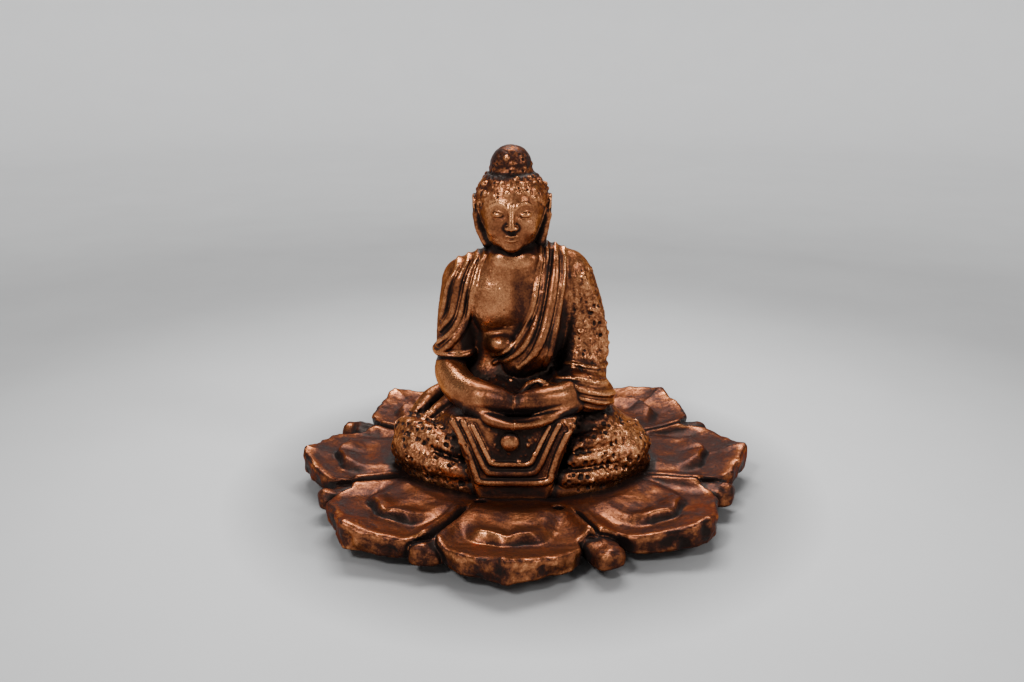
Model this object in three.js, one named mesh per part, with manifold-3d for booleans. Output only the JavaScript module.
// Seated Buddha incense holder: a robed figure in meditation on a dish of eight lotus petals.
// The dish is one casting. The figure is five castings (legs, torso, two forearms, head) with a stud
// set in its apron, held down by a threaded tie rod with a nut and washer under the dish. Four felt
// pads carry it. Millimetres, +Z up, the origin on the table under the middle of the dish, and the
// figure faces -Y. "Left" and "right" in the names are the figure's own: its right side is at -X.
import * as THREE from "three";
import { mergeVertices } from "three/addons/utils/BufferGeometryUtils.js";
import Module from "manifold-3d";

const wasm = await Module();
wasm.setup();

// --- Driving dimensions -------------------------------------------------------------------------
const PETALS = 8;
const TIP_RADIUS = 75; // middle of the dish to a petal tip
const TIP_TOP = 12.3; // height of a petal tip above the table
// Degrees by which each petal of the hand-made dish is off an even spacing, from the front one on.
const PETAL_TURNS = [-4.4, 0.8, 1.0, -0.3, 0.4, -1.2, 2.5, 2.4];
const FIGURE_X = -4.5; // the head and apron stand a little off the dish's middle
const FOOT_BOTTOM = 1.5; // flat underside of the dish, held off the table by the pads
const FLOOR = 8; // top of the dish where the figure stands
const GAP = 0.3; // clearance between neighbouring castings

const FOOT_RADIUS = 46; // flat underside of the dish
const RIM_BOTTOM = 4; // underside of the petals, clear of the table
const SEAM_RADIUS = 37; // where the seams between petals start
const SHOULDER_RADIUS = 67.5; // the widest corners of a petal
const SHOULDER_HALF_ANGLE = 18; // degrees from a petal's middle line to its shoulder
const LEAF_TIP_RADIUS = 72; // the lower leaf that shows between two petals
const SEAT = { halfWidth: 47.5, halfDepth: 32.5, x: -1, y: -3.5 };
const INCENSE_HOLE = { radius: 1.65, depth: 4.5 };
const INCENSE_PLACES = [
  { turn: -20.9, reach: 36.7 }, // degrees from the front, millimetres from the dish's middle
  { turn: 15.3, reach: 39.1 },
];

const WAIST = 30; // the torso stands on the legs at this height
const NECK = 77; // the head stands on the torso at this height
const ROD = { radius: 2, bottom: 1.8, top: 46 };
const NUT = { acrossFlats: 7, height: 2.2 };
const WASHER = { radius: 5, height: 0.8 };
const NUT_POCKET = { radius: 7.5, top: 5.4 };
const NECK_PIN = { radius: 1.5, bottom: 68, top: 86 };
const APRON = { bottomFace: -32.2, lean: 10, depth: 5 }; // front face's y at the floor, degrees back
const STUD = { radius: 2.7, head: 1.5, shank: 1, length: 6, z: 25.8 };
const PAD = { radius: 8, place: 34, recess: 1 };

const PAD_CORNERS = ["front_left", "back_left", "back_right", "front_right"];
const padAngle = (i) => THREE.MathUtils.degToRad(-45 + 90 * i);

// --- Materials ----------------------------------------------------------------------------------
const copper = new THREE.MeshStandardMaterial({ color: 0x8a4b2c, roughness: 0.42, metalness: 0.85 });
const brightCopper = new THREE.MeshStandardMaterial({ color: 0xb4683c, roughness: 0.35, metalness: 0.9 });
const steel = new THREE.MeshStandardMaterial({ color: 0xa8a8a4, roughness: 0.35, metalness: 1 });
const felt = new THREE.MeshStandardMaterial({ color: 0x2b2623, roughness: 0.95, metalness: 0 });

// --- Solid helpers ------------------------------------------------------------------------------
const rad = THREE.MathUtils.degToRad;
const V = (x, y, z) => new THREE.Vector3(x, y, z);

// A closed three.js geometry as a manifold-3d solid.
function solid(geometry) {
  const bare = geometry.index ? geometry.toNonIndexed() : geometry.clone();
  bare.deleteAttribute("normal");
  bare.deleteAttribute("uv");
  const merged = mergeVertices(bare, 1e-3);
  return new wasm.Manifold(
    new wasm.Mesh({
      numProp: 3,
      vertProperties: merged.attributes.position.array,
      triVerts: new Uint32Array(merged.index.array),
    }),
  );
}

function named(name, shape, material) {
  const { vertProperties, triVerts } = shape.getMesh();
  const geometry = new THREE.BufferGeometry();
  geometry.setAttribute("position", new THREE.BufferAttribute(vertProperties, 3));
  geometry.setIndex(new THREE.BufferAttribute(triVerts, 1));
  geometry.computeVertexNormals();
  const mesh = new THREE.Mesh(geometry, material);
  mesh.name = name;
  return mesh;
}

const join = (shapes) => shapes.reduce((whole, shape) => whole.add(shape));

// The biggest body of a shape, without the sealed voids and loose slivers that a cut can leave.
const biggest = (shape) => shape.decompose().sort((a, b) => b.volume() - a.volume())[0];

// An ellipsoid with semi-axes size, turned by Euler degrees and centred at a point.
function ellipsoid(size, at, turn = [0, 0, 0], around = 20, down = 12) {
  const geometry = new THREE.SphereGeometry(1, around, down);
  geometry.rotateX(Math.PI / 2).scale(...size);
  geometry.rotateX(rad(turn[0])).rotateY(rad(turn[1])).rotateZ(rad(turn[2]));
  return solid(geometry.translate(...at));
}

// A round-ended limb that tapers from radius ra at a to rb at b.
function limb(a, b, ra, rb, sides = 14, capSteps = 3) {
  const length = a.distanceTo(b);
  const profile = [];
  for (let i = 0; i <= capSteps; i++) {
    const t = (Math.PI / 2) * (i / capSteps);
    profile.push(new THREE.Vector2(ra * Math.sin(t), -ra * Math.cos(t)));
  }
  for (let i = 0; i <= capSteps; i++) {
    const t = (Math.PI / 2) * (i / capSteps);
    profile.push(new THREE.Vector2(rb * Math.cos(t), length + rb * Math.sin(t)));
  }
  profile[0].x = 0;
  profile[profile.length - 1].x = 0;
  const geometry = new THREE.LatheGeometry(profile, sides);
  const along = b.clone().sub(a).normalize();
  geometry.applyQuaternion(new THREE.Quaternion().setFromUnitVectors(V(0, 1, 0), along));
  return solid(geometry.translate(a.x, a.y, a.z));
}

// A limb through several points, each given as [x, y, z, radius].
function limbChain(points, sides = 14) {
  const pieces = [];
  for (let i = 0; i + 1 < points.length; i++) {
    const [ax, ay, az, ra] = points[i];
    const [bx, by, bz, rb] = points[i + 1];
    pieces.push(limb(V(ax, ay, az), V(bx, by, bz), ra, rb, sides));
  }
  return join(pieces);
}

// A cylinder standing on height z0.
function post(radius, z0, z1, x = 0, y = 0, sides = 24) {
  const geometry = new THREE.CylinderGeometry(radius, radius, z1 - z0, sides);
  geometry.rotateX(Math.PI / 2);
  return solid(geometry.translate(x, y, (z0 + z1) / 2));
}

// Everything between two heights, wide enough for any piece here.
function layer(z0, z1) {
  const reach = 3 * TIP_RADIUS;
  return solid(new THREE.BoxGeometry(reach, reach, z1 - z0).translate(0, 0, (z0 + z1) / 2));
}

// --- The dish -----------------------------------------------------------------------------------
// A petal seen from above, pointing along +X, as half-widths at distances from the dish's middle.
function petalOutline(stations) {
  const shape = new THREE.Shape();
  shape.moveTo(stations[0][0], -stations[0][1]);
  stations.slice(1).forEach(([r, half]) => shape.lineTo(r, -half));
  [...stations].reverse().slice(1).forEach(([r, half]) => shape.lineTo(r, half));
  return shape;
}

// A petal slab of the given outline, whose top rises from zInner at rInner to zTip at the tip.
function petalSlab(stations, thickness, rInner, zInner, zTip, bevel) {
  const options = {
    depth: thickness - 2 * bevel,
    bevelThickness: bevel,
    bevelSize: bevel,
    bevelOffset: -bevel,
    bevelSegments: 1,
  };
  const geometry = new THREE.ExtrudeGeometry(petalOutline(stations), options);
  const tip = stations[stations.length - 1][0];
  geometry.translate(-rInner, 0, bevel - thickness);
  geometry.rotateY(-Math.atan2(zTip - zInner, tip - rInner));
  return geometry.translate(rInner, 0, zInner);
}

// The level oval that the figure stands on, cut down through the inner petals.
function seatRecess() {
  const { halfWidth, halfDepth, x, y } = SEAT;
  const height = 20;
  const geometry = new THREE.CylinderGeometry(1, 1, height, 48).rotateX(Math.PI / 2);
  geometry.scale(halfWidth, halfDepth, 1).translate(x, y, FLOOR + height / 2);
  return solid(geometry);
}

function lotusDish() {
  const seamGap = 0.45; // half of the groove between two petals
  const besideSeam = (r) => r * Math.tan(Math.PI / PETALS) - seamGap;
  const shoulder = {
    r: SHOULDER_RADIUS * Math.cos(rad(SHOULDER_HALF_ANGLE)),
    half: SHOULDER_RADIUS * Math.sin(rad(SHOULDER_HALF_ANGLE)),
  };
  const outer = [
    [24, besideSeam(24)],
    [SEAM_RADIUS + 15, besideSeam(SEAM_RADIUS + 15)],
    [shoulder.r - 4, shoulder.half + 1],
    [shoulder.r, shoulder.half],
    [shoulder.r + 4, shoulder.half * 0.62],
    [TIP_RADIUS - 1.5, 3],
    [TIP_RADIUS, 0.8],
  ];
  const inner = [
    [30, 9],
    [38, 12.2],
    [50, 13],
    [56, 11],
    [60.5, 7],
    [61.5, 4],
  ];
  const leaf = [
    [56, 6],
    [LEAF_TIP_RADIUS - 4, 4.4],
    [LEAF_TIP_RADIUS - 1, 2.6],
    [LEAF_TIP_RADIUS, 0.8],
  ];
  const outerPetal = petalSlab(outer, TIP_TOP - RIM_BOTTOM, 24, FLOOR, TIP_TOP, 0.9);
  const innerPetal = petalSlab(inner, 5, 30, FLOOR + 0.6, 12.6, 0.7);
  const leafTip = petalSlab(leaf, 5, 56, 8.6, 10, 0.6);

  const body = new THREE.LatheGeometry(
    [
      [0, FOOT_BOTTOM],
      [FOOT_RADIUS, FOOT_BOTTOM],
      [FOOT_RADIUS + 12, RIM_BOTTOM],
      [62, RIM_BOTTOM + 1.5],
      [62, FLOOR - 0.6],
      [SEAM_RADIUS, FLOOR],
      [0, FLOOR],
    ].map(([x, z]) => new THREE.Vector2(x, z)),
    48,
  ).rotateX(Math.PI / 2);

  const pieces = [solid(body)];
  for (let i = 0; i < PETALS; i++) {
    const step = 360 / PETALS;
    const petalAngle = rad(-90 + step * i + PETAL_TURNS[i]);
    const between = rad(-90 + step * (i + 0.5) + (PETAL_TURNS[i] + PETAL_TURNS[(i + 1) % PETALS]) / 2);
    pieces.push(solid(outerPetal.clone().rotateZ(petalAngle)));
    pieces.push(solid(innerPetal.clone().rotateZ(petalAngle)));
    pieces.push(solid(leafTip.clone().rotateZ(between)));
  }
  // Level seat for the figure, rod hole with a pocket for the nut below, and two incense holes.
  const cuts = [
    seatRecess(),
    post(ROD.radius + GAP, 0, FLOOR + 1, FIGURE_X),
    post(NUT_POCKET.radius, 0, NUT_POCKET.top, FIGURE_X),
  ];
  PAD_CORNERS.forEach((corner, i) => {
    const [x, y] = [PAD.place * Math.cos(padAngle(i)), PAD.place * Math.sin(padAngle(i))];
    cuts.push(post(PAD.radius + GAP, 0, FOOT_BOTTOM + PAD.recess, x, y));
  });
  INCENSE_PLACES.forEach(({ turn, reach }) => {
    const [x, y] = [reach * Math.sin(rad(turn)), -reach * Math.cos(rad(turn))];
    cuts.push(post(INCENSE_HOLE.radius, FLOOR - INCENSE_HOLE.depth, FLOOR + 5, x, y, 16));
  });
  return join(pieces).intersect(layer(FOOT_BOTTOM, 40)).subtract(join(cuts));
}

// --- The figure, made about its own axis and moved to FIGURE_X at the end -----------------------
// The y of the apron's leaning front face at a height.
const apronFace = (z) => APRON.bottomFace + (z - FLOOR - GAP) * Math.tan(rad(APRON.lean));

// A slab with an outline of [x, height] points, its front face raised above the apron's.
function apronPlate(points, raised) {
  const shape = new THREE.Shape(points.map(([x, up]) => new THREE.Vector2(x, up)));
  const bevel = 0.5;
  const options = {
    depth: APRON.depth + raised - bevel,
    bevelThickness: bevel,
    bevelSize: bevel,
    bevelOffset: -bevel,
    bevelSegments: 1,
  };
  const geometry = new THREE.ExtrudeGeometry(shape, options).translate(0, 0, -APRON.depth);
  geometry.rotateX(rad(90 - APRON.lean));
  return solid(geometry.translate(0, APRON.bottomFace, FLOOR + GAP));
}

function legs() {
  const seat = FLOOR + GAP;
  const right = limbChain([
    [-9, 10, 20, 12],
    [-27, -10, 18, 11.5],
    [-28, -15, 15, 11],
    [-8, -20, 14, 8.5],
  ]);
  const left = limbChain([
    [13, 10, 20, 12],
    [33, -10, 18, 12],
    [35, -15, 15.5, 11],
    [10, -21, 15, 9],
  ]);
  const hips = ellipsoid([29, 19, 15], [3, 6, 17], [0, 0, 0], 28, 14);
  const lap = ellipsoid([21, 20, 13], [2, -9, 20], [0, 0, 0], 24, 12);
  const plinth = ellipsoid([40, 25, 7], [3.5, -5, seat + 1], [0, 0, 0], 32, 10);
  const apron = apronPlate([[-9.5, 0], [13, 0], [19.5, 24], [-17, 26]], 0);
  const border = apronPlate(
    [[-9, 1.5], [12.5, 1.5], [18.5, 23], [15.5, 23], [10.5, 5], [-7, 5], [-13, 24.5], [-16, 24.5]],
    1,
  );
  const whole = biggest(join([right, left, hips, lap, plinth, apron, border]));
  const cuts = join([post(ROD.radius + GAP, 0, WAIST + 20), studHole()]);
  return whole.intersect(layer(seat, WAIST - GAP / 2)).subtract(cuts);
}

// A lathed piece whose axis stands square on the apron's face at the stud's place.
function onApron(profile) {
  const geometry = new THREE.LatheGeometry(profile.map(([r, out]) => new THREE.Vector2(r, out)), 20);
  geometry.rotateX(rad(180 - APRON.lean));
  return solid(geometry.translate(0.2, apronFace(STUD.z), STUD.z));
}

const studHole = () =>
  onApron([
    [0, -STUD.length - GAP],
    [STUD.shank + GAP, -STUD.length - GAP],
    [STUD.shank + GAP, 5],
    [0, 5],
  ]);

const apronStud = () =>
  onApron([
    [0, -STUD.length],
    [STUD.shank, -STUD.length],
    [STUD.shank, GAP],
    [STUD.radius, GAP],
    [STUD.radius, GAP + 0.6],
    [STUD.radius * 0.8, GAP + STUD.head - 0.2],
    [0, GAP + STUD.head],
  ]);

function forearmRaw(side) {
  return side < 0
    ? join([
        limbChain([[-20, -3, 40, 5.4], [-17.5, -14, 36.5, 5.2], [-9, -23, 35.5, 4.6]]),
        ellipsoid([9, 5, 4], [-2.5, -26, 35], [0, 8, 12]),
        limb(V(-8, -26, 33.4), V(-1.6, -28.5, 32.3), 2.6, 1.8, 12),
      ])
    : join([
        limbChain([[24, -3, 38, 5.4], [21, -15, 36, 5], [13, -23, 35.5, 4.4]]),
        ellipsoid([8.5, 5, 4], [7.5, -26, 35.2], [0, -6, -10]),
        limb(V(11, -26, 33.4), V(2, -28.5, 32.3), 2.6, 1.8, 12),
      ]);
}

const HANDS_MEET = 1.4; // the fingertips of the two castings meet at this x

function forearm(side) {
  const reach = 80;
  const half = new THREE.BoxGeometry(reach, reach, reach);
  half.translate(HANDS_MEET + side * (reach / 2 + GAP / 2), -10, WAIST + GAP + reach / 2);
  return biggest(forearmRaw(side).intersect(solid(half)).subtract(torsoOuter()));
}

// Robe, chest and sleeves as one outer shape, without its holes.
function torsoOuter() {
  const trunk = join([
    ellipsoid([20, 14.5, 27], [2, 2, 52], [0, 0, 0], 24, 14),
    ellipsoid([21, 16, 13], [2, 1, 35], [0, 0, 0], 24, 12),
    ellipsoid([24, 12, 12], [3, 4, 64], [0, 0, 0], 24, 12),
    limb(V(0, 2, 68), V(0, 1, 80), 9, 6.4, 16),
    limbChain([[-14, 3, 70.5, 5], [-7, 3.5, 74.5, 4], [8, 3.5, 75.5, 4], [16, 3, 72.5, 5]], 12),
  ]);
  const rightSleeve = limbChain([[-15, 3, 66, 8], [-18, 2, 54, 7.6], [-18.5, -1, 46, 6.6]]);
  const leftSleeve = limbChain([
    [19, 4, 67, 8.5],
    [23, 3, 54, 8.6],
    [24, -1, 42, 8],
    [24, -8, 37, 6.8],
  ]);
  const cuff = limbChain([[24, -8, 38, 7], [26, -11, 36, 6]]);
  const hem = limbChain(
    [[8, -1, 77, 2.4], [10, -8, 68, 2.4], [10, -13, 58, 2.4], [5, -16, 49, 2.4], [-6, -16, 43, 2.2]],
    10,
  );
  return biggest(join([trunk, rightSleeve, leftSleeve, cuff, hem]));
}

function torso() {
  const sockets = forearmRoom(-1).add(forearmRoom(1));
  const cuts = join([
    post(ROD.radius + GAP, 0, ROD.top + 1),
    post(NECK_PIN.radius + GAP, NECK_PIN.bottom - 1, NECK + 10, 0, 1),
  ]);
  const standing = torsoOuter().intersect(layer(WAIST + GAP / 2, NECK - GAP / 2));
  return biggest(standing.subtract(cuts).subtract(sockets));
}

// The room that a forearm needs: the forearm itself, GAP wider along each axis.
function forearmRoom(side) {
  const offsets = [V(GAP, 0, 0), V(-GAP, 0, 0), V(0, GAP, 0), V(0, -GAP, 0), V(0, 0, GAP), V(0, 0, -GAP)];
  const piece = forearm(side);
  return join(offsets.map((o) => piece.translate([o.x, o.y, o.z])));
}

function head() {
  const skull = join([
    ellipsoid([11.3, 12.5, 12.5], [0, 1, 93], [0, 0, 0], 28, 16),
    ellipsoid([9.2, 9.5, 10.5], [0, -1.6, 89], [0, 0, 0], 24, 12),
    ellipsoid([7.2, 7.2, 8], [0, 2.5, 102.9], [0, 0, 0], 20, 12),
    limb(V(0, -10.5, 92), V(0, -12, 88.4), 0.9, 1.7, 10),
  ]);
  const ears = join(
    [-1, 1].map((side) =>
      limbChain(
        [
          [side * 11.6, 2.5, 91.5, 1.9],
          [side * 11.2, 1.5, 87, 1.5],
          [side * 9.6, 0.8, 81.3, 1.9],
        ],
        10,
      ),
    ),
  );
  const hairline = new THREE.BoxGeometry(60, 60, 60).translate(0, 0, 30).rotateX(rad(32));
  const hair = ellipsoid([12, 13.2, 12.9], [0, 1.4, 93.2], [0, 0, 0], 28, 16);
  const cap = hair.intersect(solid(hairline.translate(0, -4, 95)));
  const neck = limb(V(0, 1, NECK), V(0, 0.5, 86), 6.3, 6.3, 20);
  const cuts = post(NECK_PIN.radius + GAP, 0, NECK_PIN.top + 1, 0, 1);
  return join([skull, cap, ears, neck]).intersect(layer(NECK + GAP / 2, 130)).subtract(cuts);
}

// --- Fixings and feet ---------------------------------------------------------------------------
const washerBottom = NUT_POCKET.top - GAP - WASHER.height;

const washer = () =>
  post(WASHER.radius, washerBottom, washerBottom + WASHER.height).subtract(
    post(ROD.radius + GAP, 0, FLOOR),
  );

function nut() {
  const top = washerBottom - GAP;
  const corner = NUT.acrossFlats / 2 / Math.cos(Math.PI / 6);
  return post(corner, top - NUT.height, top, 0, 0, 6).subtract(post(ROD.radius + GAP, 0, FLOOR));
}

function pad(angle) {
  const [x, y] = [PAD.place * Math.cos(angle), PAD.place * Math.sin(angle)];
  return post(PAD.radius, 0, FOOT_BOTTOM + PAD.recess - GAP, x, y);
}

// --- The object ---------------------------------------------------------------------------------
const object = new THREE.Group();
object.add(named("lotus_dish", lotusDish(), copper));

const figure = new THREE.Group();
figure.position.x = FIGURE_X;
figure.add(
  named("legs_and_apron", legs(), copper),
  named("torso_and_robe", torso(), copper),
  named("right_forearm", forearm(-1), copper),
  named("left_forearm", forearm(1), copper),
  named("head", head(), copper),
  named("apron_stud", apronStud(), brightCopper),
  named("tie_rod", post(ROD.radius, ROD.bottom, ROD.top), steel),
  named("tie_washer", washer(), steel),
  named("tie_nut", nut(), steel),
  named("neck_pin", post(NECK_PIN.radius, NECK_PIN.bottom, NECK_PIN.top, 0, 1), steel),
);
object.add(figure);

PAD_CORNERS.forEach((corner, i) => {
  object.add(named(`felt_pad_${corner}`, pad(padAngle(i)), felt));
});

export default object;
